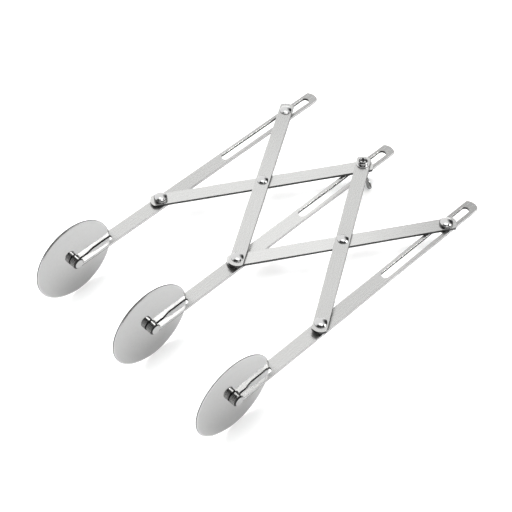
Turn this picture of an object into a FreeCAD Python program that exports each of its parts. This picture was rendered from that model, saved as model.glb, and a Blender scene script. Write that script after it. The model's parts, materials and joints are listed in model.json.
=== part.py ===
import FreeCAD, Part
import math
import os

# Expanding pastry cutter: three slotted arms joined by four crossed bars, one cutting wheel
# in the forked front end of each arm, and a wing nut under the middle arm that locks the spread.
# Millimetres. The lattice is drawn flat first: X runs across the arms, Y from the wheels to
# the tails, and Z = 0 is the top face of the arms. The origin of that drawing is the front
# pivot of the middle arm. At the end everything is tipped and lifted so that the tool stands
# on its three wheels and its wing nut, with the floor at Z = 0.

# ---- driving dimensions ----
ARM_SPACING = 67.3        # between neighbouring arms in the drawn position
PIVOT_REACH = 107.0       # front pivot to rear slide pivot, along the arm
STRIP = 1.8               # thickness of the arm and bar strips
GAP = 0.12                # air between stacked strips, washers and heads
CLOSE_GAP = 0.05          # air where two pieces all but touch
ARM_WIDTH = 9.0
ARM_TAIL_Y = 133.1
ARM_TAIL_RADIUS = 6.8
SLOT_FRONT_Y = 51.4
SLOT_REAR_Y = 127.3
SLOT_WIDTH = 4.7
BAR_WIDTH = 8.8
BAR_END_RADIUS = 6.5      # shallow end arc, centred on the pivot

WHEEL_RADIUS = 27.0
WHEEL_THICKNESS = 1.0
WHEEL_BEVEL = 1.1         # width of the ground edge
WHEEL_EDGE = 0.4          # thickness left at the blunt cutting edge
AXLE_Y = -67.6            # wheel centre, measured from the front pivot
FORK_REAR_Y = -39.5       # rear end of the fork slot the wheel turns in
FORK_HALF = 2.0           # half of its width, and the radius of its rear end
FORK_STEP = (-53.0, -58.0)  # the prongs close in towards the wheel between these two
KNUCKLE_INNER = 0.95      # knuckle face beside the wheel
KNUCKLE_WRAP = 212.0      # how far each prong is rolled around the axle, in degrees

SHANK_RADIUS = 2.0
RUNNING = 0.05            # radial clearance of every bore on its rivet
HEAD_RADIUS = 3.7
HEAD_RIM = 0.35
HEAD_DOME = 1.1
CROSS_HEAD_RADIUS = 3.4
TAIL_RADIUS = 3.4
TAIL_RIM = 0.3
TAIL_DOME = 0.8
SPACER_RADIUS = 4.1
WASHER_RADIUS = 4.3
WASHER = 0.5
THICK_WASHER = 1.2
CLAMP_WASHER_RADIUS = 4.6
CLAMP_WASHER = 0.7
OPEN_PIVOT_RADIUS = 2.35  # slack hole of the right upper bar on the clamp screw

SCREW_HEAD_RADIUS = 3.2
SCREW_HEAD_RIM = 1.7
SCREW_HEAD_DOME = 1.0
RECESS_SPAN = 3.6
RECESS_WIDTH = 0.8
RECESS_DEPTH = 1.4

NUT_TOP_RADIUS = 4.0
NUT_FOOT_RADIUS = 3.3
NUT_HEIGHT = 5.5
WING_REACH = 10.5         # wing tip from the screw axis
WING_DROP = 7.9           # wing tip below the nut's top face
WING_WIDTH = 5.0
WING_THICKNESS = 1.6
WING_ROOT = (1.2, 0.6)    # where a wing leaves the hub: below its top face, above its foot
WING_SINK = 1.2           # how far a wing runs into the hub
WING_BACK = (1.3, 3.4)    # middle of the curved back: in from the tip, below the top face
WING_END = 2.4            # height of the rounded end
WING_LEAN = 0.9           # the lowest point of the end, outwards from its middle
SCREW_TAIL = 1.0          # screw left showing below the nut
NUT_TURN = -15.0          # direction of the wings about the screw

WHEEL_WASHER_RADIUS = 3.4
BUTTON_RADIUS = 3.3       # low heads at both ends of the axle rivet
BUTTON_FACE = 2.75
BUTTON_RIM = 0.45
BUTTON_SLOPE = 0.35
BUTTON_DOME = 0.15

TIP_ANGLE = 4.608         # rear of the lattice is this much lower than the front

# ---- derived heights of the stack, from the arm upwards ----
ARM_BOTTOM = -STRIP
LOWER = (GAP, GAP + STRIP)
UPPER = (LOWER[1] + GAP, LOWER[1] + GAP + STRIP)
BAR_LENGTH = math.hypot(ARM_SPACING, PIVOT_REACH)
BORE_RADIUS = SHANK_RADIUS + RUNNING
AXLE_Z = BORE_RADIUS      # the strip passes under the axle and is rolled up around it
KNUCKLE_RADIUS = BORE_RADIUS + STRIP
DISC_HALF = WHEEL_THICKNESS / 2
UP = FreeCAD.Vector(0, 0, 1)
ACROSS = FreeCAD.Vector(1, 0, 0)


def vec(x, y, z=0.0):
    return FreeCAD.Vector(x, y, z)


def rod(radius, low, high, x=0.0, y=0.0):
    return Part.makeCylinder(radius, high - low, vec(x, y, low), UP)


def dome(radius, height, base):
    """Spherical cap standing on the plane z = base."""
    ball_radius = (radius * radius + height * height) / (2 * height)
    ball = Part.makeSphere(ball_radius, vec(0, 0, base + height - ball_radius))
    return ball.common(rod(radius, base, base + height))


def union(shapes):
    whole = shapes[0]
    for shape in shapes[1:]:
        whole = whole.fuse(shape)
    return whole.removeSplitter()


def ring(radius, bore, low, high):
    return rod(radius, low, high).cut(rod(bore, low - 1, high + 1))


def rivet(head_base, tail_top, head_radius=HEAD_RADIUS):
    """Domed rivet on the Z axis: its head sits at head_base, its tail under tail_top."""
    head = rod(head_radius, head_base, head_base + HEAD_RIM)
    cap = dome(head_radius, HEAD_DOME, head_base + HEAD_RIM)
    shank = rod(SHANK_RADIUS, tail_top - TAIL_RIM, head_base + HEAD_RIM)
    tail = rod(TAIL_RADIUS, tail_top - TAIL_RIM, tail_top)
    foot = dome(TAIL_RADIUS, TAIL_DOME, 0)
    foot.rotate(vec(0, 0), ACROSS, 180)
    foot.translate(vec(0, 0, tail_top - TAIL_RIM))
    return union([shank, head, cap, tail, foot])


def face_of(edges):
    return Part.Face(Part.Wire(edges))


def segment(a, b):
    return Part.LineSegment(a, b).toShape()


def arc(a, middle, b):
    return Part.Arc(a, middle, b).toShape()


def bar(level):
    """Straight bar along +Y from its front pivot at the origin; both ends are shallow arcs."""
    half = BAR_WIDTH / 2
    shoulder = math.sqrt(BAR_END_RADIUS ** 2 - half ** 2)
    rear_left = vec(-half, BAR_LENGTH + shoulder)
    rear_right = vec(half, BAR_LENGTH + shoulder)
    front_left = vec(-half, -shoulder)
    front_right = vec(half, -shoulder)
    outline = [
        segment(front_left, rear_left),
        arc(rear_left, vec(0, BAR_LENGTH + BAR_END_RADIUS), rear_right),
        segment(rear_right, front_right),
        arc(front_right, vec(0, -BAR_END_RADIUS), front_left),
    ]
    solid = face_of(outline).extrude(vec(0, 0, STRIP))
    for y in (0.0, BAR_LENGTH / 2, BAR_LENGTH):
        solid = solid.cut(rod(BORE_RADIUS, -1, STRIP + 1, 0, y))
    solid.translate(vec(0, 0, level[0]))
    return solid


def flat_arm():
    """The flat strip of an arm, from under the axle to the tail."""
    half = ARM_WIDTH / 2
    shoulder = ARM_TAIL_Y - ARM_TAIL_RADIUS + math.sqrt(ARM_TAIL_RADIUS ** 2 - half ** 2)
    tail_left = vec(-half, shoulder, ARM_BOTTOM)
    tail_right = vec(half, shoulder, ARM_BOTTOM)
    front_left = vec(-half, AXLE_Y, ARM_BOTTOM)
    front_right = vec(half, AXLE_Y, ARM_BOTTOM)
    outline = [
        segment(front_left, tail_left),
        arc(tail_left, vec(0, ARM_TAIL_Y, ARM_BOTTOM), tail_right),
        segment(tail_right, front_right),
        segment(front_right, front_left),
    ]
    return face_of(outline).extrude(vec(0, 0, STRIP))


def arm_slot():
    """Tool that cuts the long slot: a round-ended bar of the slot's size."""
    radius = SLOT_WIDTH / 2
    front = SLOT_FRONT_Y + radius
    rear = SLOT_REAR_Y - radius
    low = ARM_BOTTOM - 1
    height = STRIP + 2
    middle = Part.makeBox(SLOT_WIDTH, rear - front, height, vec(-radius, front, low))
    ends = [rod(radius, low, low + height, 0, y) for y in (front, rear)]
    return union([middle] + ends)


def fork_slot():
    """Tool that splits the front of the arm: round at the rear, narrower beside the hub."""
    low = ARM_BOTTOM - 1
    front = AXLE_Y - 2 * KNUCKLE_RADIUS
    round_start = FORK_REAR_Y - FORK_HALF
    half_outline = [(KNUCKLE_INNER, front), (KNUCKLE_INNER, FORK_STEP[1]),
                    (FORK_HALF, FORK_STEP[0]), (FORK_HALF, round_start)]
    right = [vec(x, y, low) for x, y in half_outline]
    left = [vec(-x, y, low) for x, y in reversed(half_outline)]
    outline = [segment(a, b) for a, b in zip(right, right[1:])]
    outline.append(arc(right[-1], vec(0, FORK_REAR_Y, low), left[0]))
    outline += [segment(a, b) for a, b in zip(left, left[1:])]
    outline.append(segment(left[-1], right[0]))
    return face_of(outline).extrude(vec(0, 0, STRIP + 2))


def on_axle(shape):
    """Turn a shape made on the Z axis onto the wheel axle; its +Z end points along +X."""
    shape.rotate(vec(0, 0), vec(0, 1, 0), 90)
    shape.translate(vec(0, AXLE_Y, AXLE_Z))
    return shape


def knuckle(low, high):
    """Rolled end of a prong: it leaves the strip under the axle and wraps round the front."""
    roll = Part.makeCylinder(KNUCKLE_RADIUS, high - low, vec(0, 0, low), UP, KNUCKLE_WRAP)
    roll.rotate(vec(0, 0), UP, -KNUCKLE_WRAP)
    roll = roll.cut(rod(BORE_RADIUS, low - 1, high + 1))
    return on_axle(roll)


def arm():
    half = ARM_WIDTH / 2
    strip = flat_arm().cut(fork_slot())
    solid = union([strip, knuckle(KNUCKLE_INNER, half), knuckle(-half, -KNUCKLE_INNER)])
    solid = solid.cut(arm_slot())
    return solid.cut(rod(BORE_RADIUS, ARM_BOTTOM - 1, 1))


def disc():
    """Flat wheel with a bevel ground on both faces."""
    inner = WHEEL_RADIUS - WHEEL_BEVEL
    half_edge = WHEEL_EDGE / 2
    corners = [
        vec(BORE_RADIUS, 0, -DISC_HALF), vec(inner, 0, -DISC_HALF),
        vec(WHEEL_RADIUS, 0, -half_edge), vec(WHEEL_RADIUS, 0, half_edge),
        vec(inner, 0, DISC_HALF), vec(BORE_RADIUS, 0, DISC_HALF),
    ]
    profile = Part.Face(Part.makePolygon(corners + corners[:1]))
    return on_axle(profile.revolve(vec(0, 0), UP, 360))


def button():
    """Low head of the axle rivet, standing on the outer face of a knuckle."""
    base = ARM_WIDTH / 2 + RUNNING
    slope_base = base + BUTTON_RIM
    rim = rod(BUTTON_RADIUS, base, slope_base)
    slope = Part.makeCone(BUTTON_RADIUS, BUTTON_FACE, BUTTON_SLOPE, vec(0, 0, slope_base))
    return union([rim, slope, dome(BUTTON_FACE, BUTTON_DOME, slope_base + BUTTON_SLOPE)])


def axle_rivet():
    """Pin through both knuckles and the wheel with a low head at each end."""
    reach = ARM_WIDTH / 2 + RUNNING
    far_button = button()
    far_button.rotate(vec(0, 0), ACROSS, 180)
    return on_axle(union([rod(SHANK_RADIUS, -reach, reach), button(), far_button]))


def wheel_washer(side):
    """Thin ring that keeps the wheel off one knuckle; side is 1 for the right, -1 for the left."""
    faces = sorted((side * (DISC_HALF + CLOSE_GAP), side * (KNUCKLE_INNER - CLOSE_GAP)))
    return on_axle(ring(WHEEL_WASHER_RADIUS, BORE_RADIUS, *faces))


# ---- the clamp under the middle arm's slide pivot ----
CLAMP_WASHER_TOP = (UPPER[1] + GAP, UPPER[1] + GAP + WASHER)
SCREW_HEAD_BASE = CLAMP_WASHER_TOP[1] + CLOSE_GAP
CLAMP_WASHER_UNDER = (ARM_BOTTOM - GAP - CLAMP_WASHER, ARM_BOTTOM - GAP)
NUT_TOP = CLAMP_WASHER_UNDER[0] - CLOSE_GAP
SCREW_TIP = NUT_TOP - NUT_HEIGHT - SCREW_TAIL


def clamp_screw():
    """Pan head screw with a cross recess, standing on the Z axis."""
    head_top = SCREW_HEAD_BASE + SCREW_HEAD_RIM
    shank = rod(SHANK_RADIUS, SCREW_TIP, head_top)
    head = rod(SCREW_HEAD_RADIUS, SCREW_HEAD_BASE, head_top)
    crown = dome(SCREW_HEAD_RADIUS, SCREW_HEAD_DOME, head_top)
    screw = union([shank, head, crown])
    floor = head_top + SCREW_HEAD_DOME - RECESS_DEPTH
    for turn in (45, 135):
        groove = Part.makeBox(RECESS_SPAN, RECESS_WIDTH, 4 * RECESS_DEPTH,
                              vec(-RECESS_SPAN / 2, -RECESS_WIDTH / 2, floor))
        groove.rotate(vec(0, 0), UP, turn)
        screw = screw.cut(groove)
    return screw


def wing_nut():
    """Tapered hub with two upswept wings; here they sweep down, away from the arm."""
    hub = Part.makeCone(NUT_FOOT_RADIUS, NUT_TOP_RADIUS, NUT_HEIGHT, vec(0, 0, NUT_TOP - NUT_HEIGHT))
    wings = []
    tip = NUT_TOP - WING_DROP
    for side in (-1, 1):
        root_high = vec(side * (NUT_FOOT_RADIUS - WING_SINK), 0, NUT_TOP - WING_ROOT[0])
        root_low = vec(root_high.x, 0, NUT_TOP - NUT_HEIGHT + WING_ROOT[1])
        back_start = vec(side * NUT_TOP_RADIUS, 0, root_high.z)
        back_middle = vec(side * (WING_REACH - WING_BACK[0]), 0, NUT_TOP - WING_BACK[1])
        end_outer = vec(side * WING_REACH, 0, tip + WING_END)
        end_lowest = vec(side * (WING_REACH - WING_WIDTH / 2 + WING_LEAN), 0, tip)
        end_inner = vec(side * (WING_REACH - WING_WIDTH), 0, tip + WING_END)
        outline = [
            segment(root_high, back_start),
            arc(back_start, back_middle, end_outer),
            arc(end_outer, end_lowest, end_inner),
            segment(end_inner, root_low),
            segment(root_low, root_high),
        ]
        wing = face_of(outline).extrude(vec(0, WING_THICKNESS, 0))
        wing.translate(vec(0, -WING_THICKNESS / 2, 0))
        wings.append(wing)
    nut = union([hub] + wings)
    nut = nut.cut(rod(BORE_RADIUS, NUT_TOP - 2 * NUT_HEIGHT, NUT_TOP + 1))
    nut.rotate(vec(0, 0), UP, NUT_TURN)
    return nut


# ---- placing: every function above draws a piece about its own pivot ----
LEFT = -ARM_SPACING
RIGHT = ARM_SPACING
REAR = PIVOT_REACH
BAR_ANGLE = math.degrees(math.atan2(ARM_SPACING, PIVOT_REACH))
NODES = {}


def put(name, shape, x=0.0, y=0.0, turn=0.0):
    shape.rotate(vec(0, 0), UP, turn)
    shape.translate(vec(x, y))
    NODES[name] = shape


for number, x in enumerate((LEFT, 0.0, RIGHT), start=1):
    put("arm_%d" % number, arm(), x)
    put("disc_%d" % number, disc(), x)
    put("wheel_washer_%d_right" % number, wheel_washer(1), x)
    put("wheel_washer_%d_left" % number, wheel_washer(-1), x)
    put("axle_rivet_%d" % number, axle_rivet(), x)
    put("front_rivet_%d" % number, rivet(UPPER[1] + GAP, ARM_BOTTOM - GAP), x)

put("left_lower_bar", bar(LOWER), LEFT, 0, -BAR_ANGLE)
put("left_upper_bar", bar(UPPER), 0, 0, BAR_ANGLE)
put("right_lower_bar", bar(LOWER), 0, 0, -BAR_ANGLE)
right_upper = bar(UPPER).cut(rod(OPEN_PIVOT_RADIUS, UPPER[0] - 1, UPPER[1] + 1, 0, BAR_LENGTH))
put("right_upper_bar", right_upper, RIGHT, 0, BAR_ANGLE)

put("front_spacer_1", ring(SPACER_RADIUS, BORE_RADIUS, *UPPER), LEFT)
put("front_spacer_3", ring(SPACER_RADIUS, BORE_RADIUS, *LOWER), RIGHT)

for name, x in (("left", LEFT / 2), ("right", RIGHT / 2)):
    put("cross_rivet_" + name, rivet(UPPER[1] + GAP, LOWER[0] - GAP / 2, CROSS_HEAD_RADIUS), x, REAR / 2)

THICK = (LOWER[1] + GAP / 2, LOWER[1] + GAP / 2 + THICK_WASHER)
UNDER = (ARM_BOTTOM - GAP - WASHER, ARM_BOTTOM - GAP)
SLIDE_TAIL = UNDER[0] - GAP / 2
put("slide_rivet_1", rivet(UPPER[1] + GAP, SLIDE_TAIL), LEFT, REAR)
put("slide_spacer_1", ring(SPACER_RADIUS, BORE_RADIUS, *LOWER), LEFT, REAR)
put("slide_rivet_3", rivet(THICK[1] + GAP / 2, SLIDE_TAIL), RIGHT, REAR)
put("slide_washer_3", ring(SPACER_RADIUS, BORE_RADIUS, *THICK), RIGHT, REAR)
for number, x in ((1, LEFT), (3, RIGHT)):
    put("under_washer_%d" % number, ring(WASHER_RADIUS, BORE_RADIUS, *UNDER), x, REAR)

put("clamp_screw", clamp_screw(), 0, REAR)
put("clamp_washer_top", ring(SPACER_RADIUS, BORE_RADIUS, *CLAMP_WASHER_TOP), 0, REAR)
put("clamp_washer_under", ring(CLAMP_WASHER_RADIUS, BORE_RADIUS, *CLAMP_WASHER_UNDER), 0, REAR)
put("wing_nut", wing_nut(), 0, REAR)

# ---- stand the tool on the floor and centre it ----
for shape in NODES.values():
    shape.rotate(vec(0, 0), ACROSS, -TIP_ANGLE)
bounds = FreeCAD.BoundBox()
for shape in NODES.values():
    bounds.add(shape.optimalBoundingBox(False))
shift = vec(-(bounds.XMin + bounds.XMax) / 2, -(bounds.YMin + bounds.YMax) / 2, -bounds.ZMin)

os.makedirs("parts", exist_ok=True)
for name, shape in NODES.items():
    shape.translate(shift)
    shape.exportStep("parts/%s.step" % name)
    print(name, shape.isValid(), len(shape.Solids), round(shape.Volume, 2))
print("lattice origin moved by", shift)
print("size", bounds.XLength, bounds.YLength, bounds.ZLength)
for name in ("disc_1", "disc_2", "disc_3", "wing_nut", "arm_2"):
    print(name, "lowest", NODES[name].optimalBoundingBox(False).ZMin)
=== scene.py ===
import json
import math

import bmesh
import bpy
from mathutils import Matrix, Vector
from mathutils.geometry import tessellate_polygon


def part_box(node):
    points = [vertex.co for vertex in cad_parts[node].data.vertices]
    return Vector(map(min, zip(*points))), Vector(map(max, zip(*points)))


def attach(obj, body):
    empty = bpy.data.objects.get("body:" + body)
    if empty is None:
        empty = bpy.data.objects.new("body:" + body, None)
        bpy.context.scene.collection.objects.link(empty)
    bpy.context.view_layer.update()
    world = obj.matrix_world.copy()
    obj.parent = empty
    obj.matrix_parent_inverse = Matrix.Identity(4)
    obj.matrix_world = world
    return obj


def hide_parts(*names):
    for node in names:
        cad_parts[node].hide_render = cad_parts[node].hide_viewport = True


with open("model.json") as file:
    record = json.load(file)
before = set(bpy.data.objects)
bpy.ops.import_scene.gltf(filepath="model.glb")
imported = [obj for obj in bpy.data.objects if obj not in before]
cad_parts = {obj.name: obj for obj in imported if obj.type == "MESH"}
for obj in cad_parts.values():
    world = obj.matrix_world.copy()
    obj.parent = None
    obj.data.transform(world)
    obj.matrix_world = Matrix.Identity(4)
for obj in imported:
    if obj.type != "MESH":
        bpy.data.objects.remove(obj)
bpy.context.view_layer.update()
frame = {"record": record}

MM = 0.001

# ---- dimensions of the tool in millimetres, as in the CAD model ----
TIP_ANGLE = math.radians(4.608)      # the lattice is tipped by this much, front end up
REACH = 107.0                        # from the front pivots to the sliding pins
GAP = 0.12                           # play between two levels of the stack
CLOSE_GAP = 0.05
SHANK = 2.0
BORE = 2.05
SLACK_BORE = 2.35                    # rear hole of the right upper bar
STRIP = 1.8
TORN = 0.5                           # height of the torn band along the bottom of a punched edge

ARM_HALF = 4.5
ARM_EDGE = 0.2
ARM_TAIL_Y = 133.1
ARM_TAIL_RADIUS = 6.8
TAIL_TRIM = (3.0, 0.45)              # corner of the tail: degrees off its arc, length off its side
SLOT_START = 51.4
SLOT_END = 127.3
SLOT_HALF = 2.35

AXLE_Y = -67.6
AXLE_Z = BORE
FORK_REAR_Y = -39.5
FORK_HALF = 2.0
FORK_STEP = (-53.0, -58.0)           # where each prong widens towards the wheel
FORK_BLEND = 2.0
PRONG_CORNER = 0.35
KNUCKLE_INNER = 0.95
KNUCKLE_WRAP = math.radians(212.0)
KNUCKLE_STEPS = 36

BAR_HALF = 4.4
BAR_EDGE = 0.15
BAR_END_RADIUS = 6.5
BAR_TRIM = (2.0, 0.3)

HEAD_RADIUS = 3.7
CROSS_HEAD_RADIUS = 3.4
HEAD_RIM = 0.35
HEAD_RISE = 1.1
RIVET_TAIL = (3.4, 0.3, 0.8)         # radius, rim and rise of the formed end

SPACER = 4.1
UNDER_WASHER_RADIUS = 4.3
WASHER = 0.5
THICK_WASHER = 1.2
CLAMP_WASHER = (4.6, 0.7)
WHEEL_WASHER = (3.4, 0.55, 0.9)      # radius, inner and outer face along the axle

WHEEL_RADIUS = 26.99
WHEEL_HALF = 0.5
CREST_RADIUS = 26.8
CREST_HALF = 0.254
BEVEL_RADIUS = 25.9
RIM_HALF = 0.2

BUTTON_RADIUS = 3.3
BUTTON_FACE = 2.75
BUTTON_HEIGHTS = (0.45, 0.8, 0.95)

SCREW_HEAD_RADIUS = 3.2
SCREW_HEIGHTS = (1.7, 2.45, 2.7)
RECESS_HEIGHTS = (1.3, 3.2)
PITCH = 0.7
THREAD_STEP = PITCH / 10
THREAD_DEPTH = 0.15                  # as a share of the radius
NUT_HEIGHT = 5.5
NUT_RADII = (3.3, 4.0)
NUT_TURN = math.radians(-15.0)
WING_HALF = 0.8
WING_ROUND = 0.5
WING_REACH = 10.5
WING_DROP = 7.9
WING_END = 2.4

# ---- levels of the stack, bottom and top ----
LOWER = (GAP, GAP + STRIP)
UPPER = (LOWER[1] + GAP, LOWER[1] + GAP + STRIP)
THICK = (LOWER[1] + GAP / 2, LOWER[1] + GAP / 2 + THICK_WASHER)
HEAD = UPPER[1] + GAP
UNDER = -STRIP - GAP
SLIDE_TAIL = UNDER - WASHER - GAP / 2
SCREW_BASE = HEAD + WASHER + CLOSE_GAP
NUT_TOP = UNDER - CLAMP_WASHER[1] - CLOSE_GAP
NUT_FOOT = NUT_TOP - NUT_HEIGHT
SCREW_TIP = NUT_FOOT - 1.0
THREAD_TOP = UNDER - 1.0
WING_TIP = NUT_TOP - WING_DROP

# ---- the lattice frame inside the row frame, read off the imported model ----
low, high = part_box("disc_2")
axle = (Vector(low) + Vector(high)) / 2 / MM
COS, SIN = math.cos(TIP_ANGLE), math.sin(TIP_ANGLE)
SHIFT = Vector((0, axle.y - (AXLE_Y * COS + AXLE_Z * SIN), axle.z - (-AXLE_Y * SIN + AXLE_Z * COS)))
TIPPED = Matrix.Translation(SHIFT * MM) @ Matrix.Rotation(-TIP_ANGLE, 4, "X") @ Matrix.Scale(MM, 4)
low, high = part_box("arm_3")
SPACING = (low[0] + high[0]) / 2 / MM
ROWS = ((1, -SPACING), (2, 0.0), (3, SPACING))
BAR_LENGTH = math.hypot(SPACING, REACH)
BAR_TURN = math.atan2(SPACING, REACH)
NODE_BODY = {n: b for b, names in frame["record"]["behaviour"]["bodies"].items() for n in names}


# ================= shape helpers: everything is drawn in millimetres =================
def rounded(corners, steps=6):
    """Points of a closed outline; each corner is (x, y, radius) and is rounded by its radius."""
    points = []
    count = len(corners)
    for i, (x, y, radius) in enumerate(corners):
        here = Vector((x, y))
        if radius <= 0:
            points.append(here)
            continue
        before = (Vector(corners[i - 1][:2]) - here).normalized()
        after = (Vector(corners[(i + 1) % count][:2]) - here).normalized()
        half = before.angle(after) / 2
        length = radius / math.tan(half)
        middle = here + (before + after).normalized() * (radius / math.sin(half))
        start = here + before * length - middle
        end = here + after * length - middle
        points += swept(middle, start, -start.angle_signed(end), steps)
    return points


def swept(centre, start, turn, steps):
    """Points reached as the vector start turns about the centre."""
    points = []
    for k in range(steps + 1):
        c, s = math.cos(turn * k / steps), math.sin(turn * k / steps)
        points.append(centre + Vector((start.x * c - start.y * s, start.x * s + start.y * c)))
    return points


def arc(x, y, radius, start, end, steps):
    """Points of a circular arc about (x, y), angles in degrees."""
    angles = [math.radians(start + (end - start) * k / steps) for k in range(steps + 1)]
    return [Vector((x + radius * math.cos(a), y + radius * math.sin(a))) for a in angles]


def through(a, middle, b, steps=14):
    """Points of the circular arc from a through middle to b."""
    a, middle, b = Vector(a), Vector(middle), Vector(b)
    u, v = middle - a, b - a
    bend = 2 * (u.x * v.y - u.y * v.x)
    centre = a + Vector((v.y * u.length_squared - u.y * v.length_squared,
                         u.x * v.length_squared - v.x * u.length_squared)) / bend
    start = a - centre
    turn = -start.angle_signed(middle - centre) - (middle - centre).angle_signed(b - centre)
    return swept(centre, start, turn, steps)


def hole(y, radius):
    """Clockwise outline of a round hole on the centre line."""
    return arc(0, y, radius, 360, 0, 48)[1:]


def strip_end(y, radius, half, trim, middle):
    """Arc at the end of a strip, trimmed at its corners; middle is its direction in degrees."""
    spread = math.degrees(math.asin(half / radius)) - trim
    return arc(0, y, radius, middle - spread, middle + spread, 12)


def shoulder(radius, half, trim):
    """How far from the centre of its end arc the straight side of a strip stops."""
    return math.sqrt(radius ** 2 - half ** 2) - trim


def offset(loop, distance):
    """The closed loop moved inwards by distance, for a loop that runs anticlockwise."""
    moved = []
    count = len(loop)
    for i, here in enumerate(loop):
        a = (here - loop[i - 1]).normalized()
        b = (loop[(i + 1) % count] - here).normalized()
        na, nb = Vector((-a.y, a.x)), Vector((-b.y, b.x))
        moved.append(here + (na + nb) * (distance / (1 + na.dot(nb))))
    return moved


def clean(loop):
    """The loop without points that repeat the one before."""
    return [p for i, p in enumerate(loop) if (p - loop[i - 1]).length > 1e-4]


def layers(bm):
    """Vertex layers kept with every mesh: its own undeformed place and how worn its edges are."""
    places, wear = bm.verts.layers.float_vector, bm.verts.layers.float
    return places.get("local") or places.new("local"), wear.get("edge") or wear.new("edge")


def bridge(bm, below, above):
    """Faces between two closed rows of as many vertices."""
    count = len(below)
    for i in range(count):
        j = (i + 1) % count
        bm.faces.new((below[i], below[j], above[j], above[i]))


def plate(outline, holes, z0, z1, edge, steps=3, torn=0.0):
    """Flat solid over an anticlockwise outline with clockwise holes; all its edges are rounded.
    Its walls have one more line at the height torn above the bottom."""
    bm = bmesh.new()
    worn = layers(bm)[1]
    levels = [(edge + 0.08, z0, 0.0)]
    for k in range(steps + 1):
        a = math.radians(90.0 * k / steps)
        levels.append((edge * (1 - math.sin(a)), z0 + edge * (1 - math.cos(a)), math.sin(2 * a)))
    upper = [(inset, z0 + z1 - z, wear) for inset, z, wear in reversed(levels)]
    if torn:
        levels.append((0.0, z0 + torn, 0.0))
    levels += upper
    caps = ([], [])
    for loop in [outline] + holes:
        loop = clean(loop)
        rows = []
        for inset, z, wear in levels:
            rows.append([bm.verts.new((p.x, p.y, z)) for p in offset(loop, inset)])
            for v in rows[-1]:
                v[worn] = wear
        for below, above in zip(rows, rows[1:]):
            bridge(bm, below, above)
        caps[0].append(rows[0])
        caps[1].append(rows[-1])
    for cap in caps:
        verts = [v for row in cap for v in row]
        for triangle in tessellate_polygon([[v.co for v in row] for row in cap]):
            bm.faces.new([verts[i] for i in triangle])
    bmesh.ops.recalc_face_normals(bm, faces=bm.faces)
    return bm


def lathe(profile, segments=96, closed=False):
    """Solid turned about Z from (radius, z) points; closed joins the last point to the first."""
    bm = bmesh.new()
    worn = layers(bm)[1]
    rows = []
    for i, (radius, z) in enumerate(profile):
        if radius < 1e-6:
            rows.append([bm.verts.new((0, 0, z))])
            continue
        before = Vector((radius, z)) - Vector(profile[i - 1])
        after = Vector(profile[(i + 1) % len(profile)]) - Vector((radius, z))
        rows.append([])
        for k in range(segments):
            a = math.tau * k / segments
            rows[-1].append(bm.verts.new((radius * math.cos(a), radius * math.sin(a), z)))
            rows[-1][-1][worn] = min(1.0, before.angle(after, 0.0) / 0.5)
    pairs = list(zip(rows, rows[1:]))
    if closed:
        pairs.append((rows[-1], rows[0]))
    for a, b in pairs:
        for k in range(segments):
            n = (k + 1) % segments
            face = [a[k % len(a)], a[n % len(a)], b[n % len(b)], b[k % len(b)]]
            bm.faces.new([v for i, v in enumerate(face) if v not in face[:i]])
    bmesh.ops.recalc_face_normals(bm, faces=bm.faces)
    return bm


def turned(corners, steps, segments=96):
    """Closed ring or solid turned from rounded (radius, z, rounding) corners."""
    return lathe([(p.x, p.y) for p in rounded(corners, steps)], segments, closed=True)


def washer(outer, low_z, high_z, edge=0.12):
    """Flat ring with rounded rims."""
    inner = edge * 0.6
    corners = [(BORE, low_z, inner), (outer, low_z, edge), (outer, high_z, edge), (BORE, high_z, inner)]
    return remember(turned(corners, 3))


def dome(radius, rim, rise, base, steps=14):
    """(radius, z) points of a domed head from its pole down to its underside."""
    soft = 0.1
    ball = (radius * radius + rise * rise) / (2 * rise)
    centre = base + rim + rise - ball
    top = math.asin(radius / ball)
    angles = [top * k / steps for k in range(1, steps)]
    points = [(0.0, base + rim + rise)]
    points += [(ball * math.sin(a), centre + ball * math.cos(a)) for a in angles]
    points += [(radius - 0.03, base + rim + 0.05), (radius, base + rim - soft), (radius, base + soft)]
    points += [(radius - soft * 0.3, base + soft * 0.3), (radius - soft, base)]
    return points


def solve(bm, tools, operation):
    """The solid in bm with every tool joined to it or cut from it."""
    temporary = []
    for part in [bm] + tools:
        mesh = bpy.data.meshes.new("tool")
        part.to_mesh(mesh)
        part.free()
        temporary.append(bpy.data.objects.new("tool", mesh))
        bpy.context.scene.collection.objects.link(temporary[-1])
    for tool in temporary[1:]:
        change = temporary[0].modifiers.new("change", "BOOLEAN")
        change.operation = operation
        change.solver = "EXACT"
        change.object = tool
    bpy.context.view_layer.update()
    result = bmesh.new()
    evaluated = temporary[0].evaluated_get(bpy.context.evaluated_depsgraph_get())
    result.from_mesh(evaluated.to_mesh())
    for obj in temporary:
        bpy.data.meshes.remove(obj.data)
    return result


def remember(bm):
    """Stores where every point is now, so that the surface detail follows the undeformed piece."""
    local = layers(bm)[0]
    for v in bm.verts:
        v[local] = v.co
    return bm


def from_axis(face):
    """Distance from the Z axis to the middle of a face."""
    return face.calc_center_median().xy.length


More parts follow.
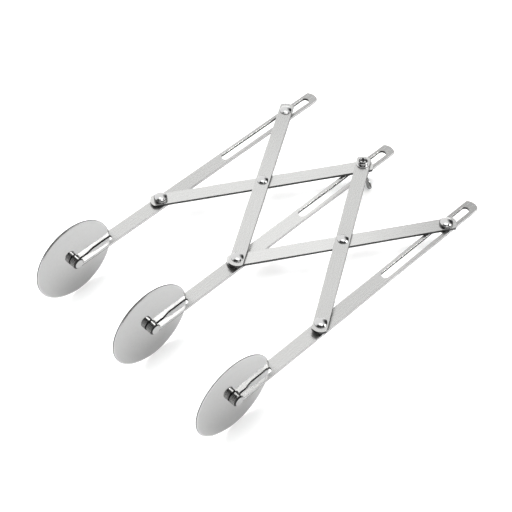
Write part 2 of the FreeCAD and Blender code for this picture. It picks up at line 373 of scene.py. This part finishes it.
# ================= materials =================
class Graph:
    """Short calls for building a node tree."""

    def __init__(self, tree):
        self.tree = tree

    def add(self, kind, **values):
        node = self.tree.nodes.new(kind)
        for key, value in values.items():
            setattr(node, key, value)
        return node

    def link(self, a, b):
        self.tree.links.new(a, b)

    def plug(self, socket, value):
        """Links an output to the socket, or sets a constant on it."""
        if hasattr(value, "is_linked"):
            self.link(value, socket)
        else:
            socket.default_value = value

    def local(self, scale=(1.0, 1.0, 1.0)):
        """The piece's own coordinates in millimetres, times scale along each axis."""
        source = self.add("ShaderNodeAttribute", attribute_name="local")
        mapping = self.add("ShaderNodeMapping")
        mapping.inputs["Scale"].default_value = scale
        self.link(source.outputs["Vector"], mapping.inputs["Vector"])
        return mapping.outputs["Vector"]

    def noise(self, scale, detail, rough):
        node = self.add("ShaderNodeTexNoise")
        node.inputs["Scale"].default_value = 1.0
        node.inputs["Detail"].default_value = detail
        node.inputs["Roughness"].default_value = rough
        self.link(self.local(scale), node.inputs["Vector"])
        return node.outputs["Fac"]

    def span(self, value, low_in, high_in, low_out, high_out):
        node = self.add("ShaderNodeMapRange")
        node.inputs["From Min"].default_value = low_in
        node.inputs["From Max"].default_value = high_in
        node.inputs["To Min"].default_value = low_out
        node.inputs["To Max"].default_value = high_out
        self.link(value, node.inputs["Value"])
        return node.outputs["Result"]

    def mix(self, factor, a, b):
        node = self.add("ShaderNodeMix", data_type="RGBA")
        self.link(factor, node.inputs[0])
        for socket, value in ((node.inputs[6], a), (node.inputs[7], b)):
            self.plug(socket, (*value, 1.0) if isinstance(value, tuple) else value)
        return node.outputs[2]

    def math(self, operation, a, b):
        node = self.add("ShaderNodeMath", operation=operation)
        self.plug(node.inputs[0], a)
        self.plug(node.inputs[1], b)
        return node.outputs[0]


def new_material(name):
    material = bpy.data.materials.new(name)
    material.use_nodes = True
    return material, material.node_tree.nodes["Principled BSDF"], Graph(material.node_tree)


def steel(name, colour, dark, rough, grain, bump, along=()):
    """Bare steel: brushed grain, smudges, bright worn edges; along is (y, tone) down the piece."""
    material, shader, g = new_material(name)
    shader.inputs["Metallic"].default_value = 1.0
    fine = g.noise(grain, 5.0, 0.6)
    coarse = g.noise(tuple(v * 0.22 for v in grain), 3.0, 0.5)
    smudge = g.noise((0.09, 0.09, 0.09), 3.0, 0.55)
    patches = g.noise((0.8, 0.8, 0.8), 4.0, 0.6)
    streak = g.math("ADD", g.math("MULTIPLY", fine, 0.6), g.math("MULTIPLY", coarse, 0.4))
    edge = g.add("ShaderNodeAttribute", attribute_name="edge").outputs["Fac"]
    wear = g.math("MULTIPLY", edge, g.span(patches, 0.3, 0.6, 0.35, 1.0))

    tone = g.mix(g.span(streak, 0.32, 0.68, 0.0, 1.0), dark, colour)
    tone = g.mix(g.span(smudge, 0.35, 0.75, 0.0, 0.35), tone, tuple(v * 0.93 for v in colour))
    tone = g.mix(wear, tone, tuple(v * 1.08 for v in colour))
    if along:
        place = g.add("ShaderNodeSeparateXYZ")
        g.link(g.local(), place.inputs[0])
        factor = along[0][1]
        for (y0, tone0), (y1, tone1) in zip(along, along[1:]):
            step = g.span(place.outputs["Y"], y0, y1, 1.0, tone1 / tone0)
            factor = g.math("MULTIPLY", step, factor)
        scale = g.add("ShaderNodeVectorMath", operation="SCALE")
        g.link(tone, scale.inputs[0])
        g.link(factor, scale.inputs["Scale"])
        tone = scale.outputs[0]
    g.link(tone, shader.inputs["Base Color"])

    dull = g.span(streak, 0.3, 0.7, *rough)
    dull = g.math("ADD", dull, g.span(smudge, 0.4, 0.75, 0.0, 0.05))
    dull = g.math("SUBTRACT", dull, g.math("MULTIPLY", wear, 0.05))
    g.link(dull, shader.inputs["Roughness"])
    height = g.add("ShaderNodeBump")
    height.inputs["Strength"].default_value = bump
    height.inputs["Distance"].default_value = 0.02 * MM
    g.link(streak, height.inputs["Height"])
    g.link(height.outputs["Normal"], shader.inputs["Normal"])
    return material


def strip_steel(name, along):
    """Satin steel brushed down the strip; along it the colour is scaled lighter or darker, which on the arms
    is painted shade and sheen.
    """
    colour, dark = (0.505, 0.505, 0.498), (0.47, 0.47, 0.463)
    return steel(name, colour, dark, (0.20, 0.30), (14.0, 0.5, 4.0), 0.15, along)


def grey_steel(name, colour, dark, *finish):
    """Steel of two neutral greys; finish is the roughness range, the grain and the bump."""
    return steel(name, (colour, colour, colour * 0.994), (dark, dark, dark), *finish)


ARM_SIDE = grey_steel("arm_side", 0.44, 0.39, (0.20, 0.32), (0.5, 0.5, 9.0), 0.25)
# Near-black steel for the real sheared holes and torn bands, and as painted shade on the bars' sides, the
# knuckle ends, the disc rims, the wheel washers, the button rims and the screw recess.
SHEARED_AND_SHADE = grey_steel("sheared_edge_and_painted_shade", 0.06, 0.03, (0.3, 0.5), (0.5, 0.5, 9.0), 0.4)
DISC_STEEL = grey_steel("disc_steel", 0.385, 0.37, (0.07, 0.13), (0.4, 0.4, 0.4), 0.05)
GROUND = grey_steel("ground_bevel", 0.43, 0.38, (0.12, 0.24), (2.0, 2.0, 2.0), 0.2)
BRIGHT = grey_steel("bright_hardware", 0.52, 0.48, (0.04, 0.09), (1.2, 1.2, 1.2), 0.08)
BUTTON = grey_steel("rivet_button", 0.44, 0.38, (0.1, 0.2), (1.2, 1.2, 1.2), 0.1)
# Turned steel for the spacers and the thick washer, painted dark as shade for the gaps under the bar ends
# and heads.
TURNED_SPACER_SHADE = grey_steel("turned_spacer_painted_shade", 0.17, 0.1, (0.16, 0.3), (0.6, 0.6, 12.0), 0.4)
CAST = grey_steel("cast_nut", 0.27, 0.2, (0.18, 0.32), (1.0, 1.0, 1.0), 0.5)


# ================= placing =================
def piece(node, bm, materials, x=0.0, y=0.0, turn=0.0, on_axle=False, smooth=30.0):
    """Turns a mesh drawn about its own pivot into the shown piece of that CAD node."""
    place = Matrix.Translation((x, y, 0)) @ Matrix.Rotation(turn, 4, "Z")
    if on_axle:
        place = Matrix.Translation((x, AXLE_Y, AXLE_Z)) @ Matrix.Rotation(math.pi / 2, 4, "Y")
    bm.transform(TIPPED @ place)
    for face in bm.faces:
        face.smooth = True
    mesh = bpy.data.meshes.new(node)
    bm.to_mesh(mesh)
    bm.free()
    mesh.set_sharp_from_angle(angle=math.radians(smooth))
    for material in materials:
        mesh.materials.append(material)
    obj = bpy.data.objects.new(node + ".visual", mesh)
    bpy.context.scene.collection.objects.link(obj)
    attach(obj, NODE_BODY[node])
    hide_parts(node)


def sides(bm, outer, bottom, rolled=-math.inf):
    """Second material on the upright faces of a flat plate, third on punched holes, on the torn
    band, and on every upright face in front of the line y = rolled."""
    for face in bm.faces:
        face.normal_update()
        centre = face.calc_center_median()
        if abs(face.normal.z) < 0.5:
            dark = centre.z < bottom + TORN or centre.y < rolled or abs(centre.x) < outer
            face.material_index = 2 if dark else 1


# ---- arms ----
def arm_mesh():
    """An arm: a flat blank with a forked front, a long slot and a rounded tail, its prongs rolled up."""
    tail_y = ARM_TAIL_Y - ARM_TAIL_RADIUS
    tail = strip_end(tail_y, ARM_TAIL_RADIUS, ARM_HALF, TAIL_TRIM[0], 90)
    side_end = tail_y + shoulder(ARM_TAIL_RADIUS, ARM_HALF, TAIL_TRIM[1])
    neutral = AXLE_Z + STRIP / 2
    front = AXLE_Y - neutral * KNUCKLE_WRAP
    round_y = FORK_REAR_Y - FORK_HALF
    right = rounded([(ARM_HALF, side_end, 0), (FORK_HALF, round_y, 0),
                     (FORK_HALF, FORK_STEP[0], FORK_BLEND), (KNUCKLE_INNER, FORK_STEP[1], FORK_BLEND),
                     (KNUCKLE_INNER, front, PRONG_CORNER), (ARM_HALF, front, PRONG_CORNER)])
    left = [Vector((-p.x, p.y)) for p in reversed(right)]
    fork = arc(0, round_y, FORK_HALF, 180, 0, 20)[1:-1]
    outline = right[1:] + right[:1] + tail + left[-1:] + left[:-1] + fork
    slot = arc(0, SLOT_START + SLOT_HALF, SLOT_HALF, 0, -180, 16)
    slot += arc(0, SLOT_END - SLOT_HALF, SLOT_HALF, 180, 0, 16)
    bm = plate(outline, [slot, hole(0, BORE)], -STRIP, 0.0, ARM_EDGE, torn=TORN)
    cuts = [AXLE_Y + 0.5, AXLE_Y + 0.1]
    cuts += [AXLE_Y + (front - AXLE_Y) * k / KNUCKLE_STEPS for k in range(KNUCKLE_STEPS)]
    for y in cuts:
        geometry = list(bm.verts) + list(bm.edges) + list(bm.faces)
        bmesh.ops.bisect_plane(bm, geom=geometry, plane_co=(0, y, 0), plane_no=(0, 1, 0), dist=1e-5)
    # Upright faces in front of the axle line, the ends of the rolled knuckle, get the near-black steel as
    # painted shade round the axle button; holes and the torn band get it as sheared edge.
    sides(bm, ARM_HALF - 0.2, -STRIP, AXLE_Y)
    remember(bm)
    for v in bm.verts:
        roll = (AXLE_Y - v.co.y) / neutral
        if roll > 0:
            radius = AXLE_Z - v.co.z
            v.co.y = AXLE_Y - radius * math.sin(roll)
            v.co.z = AXLE_Z - radius * math.cos(roll)
    return bm


# The colour scale down each arm is painted shade and sheen: a darker prong front, a lighter or darker middle
# and a darker tail.
for (number, x), middle, rear in zip(ROWS, (0.93, 1.16, 0.92), (0.74, 0.72, 0.66)):
    arm_painted_shade = ((-44.0, 0.62), (-37.0, 1.0), (-10.0, 1.0), (18.0, middle), (62.0, middle), (112.0, rear))
    top = strip_steel("arm_steel_%d" % number, arm_painted_shade)
    piece("arm_%d" % number, arm_mesh(), [top, ARM_SIDE, SHEARED_AND_SHADE], x)


# ---- bars ----
def bar_mesh(level, rear_bore):
    """A straight bar with rounded ends and three holes."""
    front = strip_end(0, BAR_END_RADIUS, BAR_HALF, BAR_TRIM[0], 270)
    rear = strip_end(BAR_LENGTH, BAR_END_RADIUS, BAR_HALF, BAR_TRIM[0], 90)
    past = shoulder(BAR_END_RADIUS, BAR_HALF, BAR_TRIM[1])
    outline = front + [Vector((BAR_HALF, -past)), Vector((BAR_HALF, BAR_LENGTH + past))]
    outline += rear + [Vector((-BAR_HALF, BAR_LENGTH + past)), Vector((-BAR_HALF, -past))]
    holes = [hole(0, BORE), hole(BAR_LENGTH / 2, BORE), hole(BAR_LENGTH, rear_bore)]
    bm = plate(outline, holes, *level, BAR_EDGE, torn=TORN)
    sides(bm, 0.0, level[0])
    return remember(bm)


for name, level, bore, x, side, front, rear in (
        ("left_lower", LOWER, BORE, -SPACING, -1, 1.12, 1.08),
        ("left_upper", UPPER, BORE, 0.0, 1, 1.04, 0.9),
        ("right_lower", LOWER, BORE, 0.0, -1, 1.19, 0.84),
        ("right_upper", UPPER, SLACK_BORE, SPACING, 1, 0.96, 0.96)):
    top = strip_steel(name + "_steel", ((60.0, front), (BAR_LENGTH, rear)))
    # Both wall materials of a bar are the near-black steel: its upright faces are painted dark as shade.
    piece(name + "_bar", bar_mesh(level, bore), [top, SHEARED_AND_SHADE, SHEARED_AND_SHADE], x, turn=side * BAR_TURN)


# ---- rivets, spacers and washers of the lattice ----
def rivet_mesh(head_base, tail_top, radius=HEAD_RADIUS):
    """A rivet from its domed head down to its formed tail."""
    profile = dome(radius, HEAD_RIM, HEAD_RISE, head_base) + [(SHANK, head_base), (SHANK, tail_top)]
    profile += [(r, tail_top - z) for r, z in reversed(dome(*RIVET_TAIL, 0.0))]
    return remember(lathe(profile))


for number, x in ROWS:
    piece("front_rivet_%d" % number, rivet_mesh(HEAD, UNDER), [BRIGHT], x)
for side, x in (("left", -SPACING / 2), ("right", SPACING / 2)):
    crossing = rivet_mesh(HEAD, LOWER[0] - GAP / 2, CROSS_HEAD_RADIUS)
    piece("cross_rivet_" + side, crossing, [BRIGHT], x, REACH / 2)
piece("slide_rivet_1", rivet_mesh(HEAD, SLIDE_TAIL), [BRIGHT], -SPACING, REACH)
piece("slide_rivet_3", rivet_mesh(THICK[1] + GAP / 2, SLIDE_TAIL), [BRIGHT], SPACING, REACH)
# The spacers and the thick washer are painted dark as shade under the bar ends and heads.
piece("front_spacer_1", washer(SPACER, *UPPER), [TURNED_SPACER_SHADE], -SPACING)
piece("front_spacer_3", washer(SPACER, *LOWER), [TURNED_SPACER_SHADE], SPACING)
piece("slide_spacer_1", washer(SPACER, *LOWER), [TURNED_SPACER_SHADE], -SPACING, REACH)
piece("slide_washer_3", washer(SPACER, *THICK), [TURNED_SPACER_SHADE], SPACING, REACH)
for number, x in (ROWS[0], ROWS[2]):
    ring = washer(UNDER_WASHER_RADIUS, UNDER - WASHER, UNDER)
    piece("under_washer_%d" % number, ring, [BRIGHT], x, REACH)


# ---- wheels, drawn about Z and laid on the axle ----
def disc_mesh():
    """A flat wheel with a ground bevel on both sides of a narrow rim."""
    half = [(BORE, -WHEEL_HALF, 0), (BEVEL_RADIUS, -WHEEL_HALF, 0.5),
            (CREST_RADIUS, -CREST_HALF, 0), (WHEEL_RADIUS, -RIM_HALF, 0.05)]
    bm = turned(half + [(r, -z, soft) for r, z, soft in reversed(half)], 3, 256)
    # Faces beyond the crest, the narrow rim, get the near-black steel as a painted dark outline, painted
    # shade; the bevel gets the ground steel.
    for face in bm.faces:
        if from_axis(face) > BEVEL_RADIUS:
            face.material_index = 2 if from_axis(face) > CREST_RADIUS else 1
    return remember(bm)


def axle_rivet_mesh():
    """The axle with a low button at each end, with a painted shadow ring round its face."""
    base = ARM_HALF + CLOSE_GAP
    side, chamfer, crown = BUTTON_HEIGHTS
    half = [(SHANK, base, 0), (BUTTON_RADIUS, base, 0.1), (BUTTON_RADIUS, base + side, 0.15),
            (BUTTON_FACE, base + chamfer, 0.25), (0, base + crown, 0)]
    corners = [(r, -z, soft) for r, z, soft in reversed(half)] + half
    bm = lathe([(p.x, p.y) for p in rounded(corners, 4)])
    # The rim round each button face gets the near-black steel as a painted shadow line.
    for face in bm.faces:
        face.material_index = 1 if from_axis(face) > BUTTON_FACE + 0.05 else 0
    return remember(bm)


for number, x in ROWS:
    radius, inner, outer = WHEEL_WASHER
    disc = "disc_%d" % number
    piece(disc, disc_mesh(), [DISC_STEEL, GROUND, SHEARED_AND_SHADE], x, on_axle=True, smooth=8.0)
    # The wheel washers are painted near-black as the shade in the gap between each hub and its disc.
    for side, faces in (("right", (inner, outer)), ("left", (-outer, -inner))):
        ring = washer(radius, *faces, 0.06)
        piece("wheel_washer_%d_%s" % (number, side), ring, [SHEARED_AND_SHADE], x, on_axle=True)
    piece("axle_rivet_%d" % number, axle_rivet_mesh(), [BUTTON, SHEARED_AND_SHADE], x, on_axle=True)


# ---- clamp: screw, washers and wing nut ----
def recess_tool(turn):
    """Tapered blade of the cross recess, turned by degrees about the screw."""
    bm = bmesh.new()
    floor_z, top_z = (SCREW_BASE + height for height in RECESS_HEIGHTS)
    rows = []
    for x, y, z in ((1.3, 0.45, floor_z), (2.4, 0.8, top_z)):
        corners = rounded([(-x, -y, 0.1), (x, -y, 0.1), (x, y, 0.1), (-x, y, 0.1)], 3)
        rows.append([bm.verts.new((p.x, p.y, z)) for p in corners])
    bridge(bm, *rows)
    for row in rows:
        bm.faces.new(row)
    bmesh.ops.recalc_face_normals(bm, faces=bm.faces)
    bm.transform(Matrix.Rotation(math.radians(turn), 4, "Z"))
    return bm


def clamp_screw_mesh():
    """Pan head screw with a cross recess and a rolled thread."""
    brim, crown, pole = (SCREW_BASE + height for height in SCREW_HEIGHTS)
    head = rounded([(0, pole, 0), (1.9, crown, 1.2), (SCREW_HEAD_RADIUS, brim, 0.9),
                    (SCREW_HEAD_RADIUS, SCREW_BASE, 0.15), (SHANK, SCREW_BASE, 0)])
    profile = [(p.x, p.y) for p in head]
    count = round((THREAD_TOP - SCREW_TIP - 0.5) / THREAD_STEP)
    profile += [(SHANK, THREAD_TOP - THREAD_STEP * k) for k in range(count)]
    profile += [(1.5, SCREW_TIP), (0, SCREW_TIP)]
    bm = lathe(profile, 64)
    for v in bm.verts:
        if v.co.z < THREAD_TOP and v.co.xy.length > 1.9:
            phase = (v.co.z / PITCH - math.atan2(v.co.y, v.co.x) / math.tau) % 1.0
            start = min(1.0, (THREAD_TOP - v.co.z) / 0.5)
            v.co.xy *= 1 - THREAD_DEPTH * start * min(1.0, 2.2 * abs(phase - 0.5))
    bm = solve(bm, [recess_tool(45), recess_tool(135)], "DIFFERENCE")
    # Faces inside the cross recess get the near-black steel as painted shade in the recess.
    for face in bm.faces:
        reach, z = from_axis(face), face.calc_center_median().z - SCREW_BASE
        inside = z > 0 and reach < 2.5 and z < 2.6 - 0.17 * reach
        face.material_index = 1 if inside else 0
    return remember(bm)


def wing_mesh(turn):
    """One wing, drawn flat in its own plane, stood upright and turned about the nut."""
    root = NUT_TOP - 1.2
    end = (WING_REACH, WING_TIP + WING_END)
    outline = through((4.0, root), (WING_REACH - 1.3, NUT_TOP - 3.4), end)
    outline += through(end, (WING_REACH - 1.6, WING_TIP), (WING_REACH - 5.0, WING_TIP + WING_END))[1:]
    outline += [Vector((2.1, NUT_FOOT + 0.6)), Vector((2.1, root))]
    bm = plate(outline[::-1], [], -WING_HALF, WING_HALF, WING_ROUND, 5)
    bm.transform(Matrix.Rotation(turn, 4, "Z") @ Matrix.Rotation(math.pi / 2, 4, "X"))
    return bm


def wing_nut_mesh():
    """A conical hub with a plain bore and two wings."""
    foot_radius, top_radius = NUT_RADII
    hub = turned([(BORE, NUT_FOOT, 0.2), (foot_radius, NUT_FOOT, 0.5), (top_radius, NUT_TOP, 0.3),
                  (BORE, NUT_TOP, 0.2)], 5)
    low_z, high_z = NUT_FOOT - 2, NUT_TOP + 2
    wings = []
    for turn in (math.pi, 0.0):
        bore = lathe([(0, low_z), (BORE, low_z), (BORE, high_z), (0, high_z)])
        wings.append(solve(wing_mesh(turn), [bore], "DIFFERENCE"))
    return remember(solve(hub, wings, "UNION"))


radius, thickness = CLAMP_WASHER
piece("clamp_washer_top", washer(SPACER, HEAD, HEAD + WASHER), [BRIGHT], 0, REACH)
piece("clamp_washer_under", washer(radius, UNDER - thickness, UNDER), [BRIGHT], 0, REACH)
piece("clamp_screw", clamp_screw_mesh(), [BRIGHT, SHEARED_AND_SHADE], 0, REACH)
piece("wing_nut", wing_nut_mesh(), [CAST], 0, REACH, NUT_TURN)

# ================= floor =================
bpy.ops.mesh.primitive_plane_add(size=6.0, location=(0, 0, 0))
floor = bpy.context.object
floor.name = "floor"
material, shader, g = new_material("floor")
shader.inputs["Base Color"].default_value = (0.93, 0.93, 0.93, 1)
shader.inputs["Roughness"].default_value = 0.9
shader.inputs["Specular IOR Level"].default_value = 0.0
shader.inputs["Emission Color"].default_value = (1, 1, 1, 1)
shader.inputs["Emission Strength"].default_value = 0.18
floor.data.materials.append(material)

# ================= studio: a sky that is bright on one side, with soft spots, and one lamp =================
SKY_AXIS = (-0.727, 0.686, 0.0)      # directions here are in the lattice frame
SPOTS = (                            # direction, inner and outer radius in degrees, level
    ((0.1, 0.9, 0.42), 16, 36, 0.05),
    ((0.12, 0.1, 1.0), 10, 13, 2.6),
    ((-0.13, -0.02, 1.0), 10, 13, 2.6),
    ((0.53, 0.45, 0.74), 7, 10, 17.0))

world = bpy.data.worlds.new("studio")
bpy.context.scene.world = world
world.use_nodes = True
g = Graph(world.node_tree)
background = world.node_tree.nodes["Background"]
background.inputs["Color"].default_value = (1, 1, 1, 1)
sky = g.add("ShaderNodeTexCoord").outputs["Generated"]


def from_lattice(vector):
    """A direction of the lattice frame in the row frame."""
    return (Matrix.Rotation(-TIP_ANGLE, 3, "X") @ Vector(vector)).normalized()


def towards(direction):
    """Cosine between the looked-up direction of the sky and the given one."""
    dot = g.add("ShaderNodeVectorMath", operation="DOT_PRODUCT")
    g.link(sky, dot.inputs[0])
    dot.inputs[1].default_value = from_lattice(direction)
    return dot.outputs["Value"]


across = towards(SKY_AXIS)
value = g.math("ADD", g.span(across, -0.04, 0.14, 0.06, 1.4), g.span(across, -0.78, -0.55, 0.9, 0.0))
for direction, inner, outer, level in SPOTS:
    edge, core = math.cos(math.radians(outer)), math.cos(math.radians(inner))
    share = g.span(towards(direction), edge, core, 0.0, 1.0)
    value = g.math("ADD", value, g.math("MULTIPLY", g.math("SUBTRACT", level, value), share))
seen = g.add("ShaderNodeLightPath").outputs["Is Camera Ray"]
value = g.math("ADD", g.math("MULTIPLY", value, g.math("SUBTRACT", 1.0, seen)), seen)
g.link(value, background.inputs["Strength"])

lamp = bpy.data.lights.new("key", "AREA")
lamp.shape = "RECTANGLE"
lamp.size, lamp.size_y = 2.0, 2.0
lamp.energy = 50.0
key = bpy.data.objects.new("key", lamp)
bpy.context.scene.collection.objects.link(key)
key.location = (-0.9, -0.5, 2.0)
key.rotation_euler = (-Vector(key.location)).to_track_quat("-Z", "Y").to_euler()
key.visible_glossy = False

# ================= camera =================
CAMERA_PLACE = (370.0, -334.0, 594.4)
FORWARD = from_lattice((-0.4696, 0.4428, -0.7638))
RIGHT = FORWARD.cross(from_lattice((-0.5417, 0.5387, 0.6453))).normalized()
UP = RIGHT.cross(FORWARD)
camera_data = bpy.data.cameras.new("camera")
camera_data.sensor_width = 36.0
camera_data.lens = 93.558
camera_data.clip_start = 0.01
camera = bpy.data.objects.new("camera", camera_data)
bpy.context.scene.collection.objects.link(camera)
turn = Matrix((RIGHT, UP, -FORWARD)).transposed().to_4x4()
camera.matrix_world = Matrix.Translation(TIPPED @ Vector(CAMERA_PLACE)) @ turn
bpy.context.scene.camera = camera
bpy.context.scene.view_settings.view_transform = "Standard"
bpy.context.scene.view_settings.look = "None"
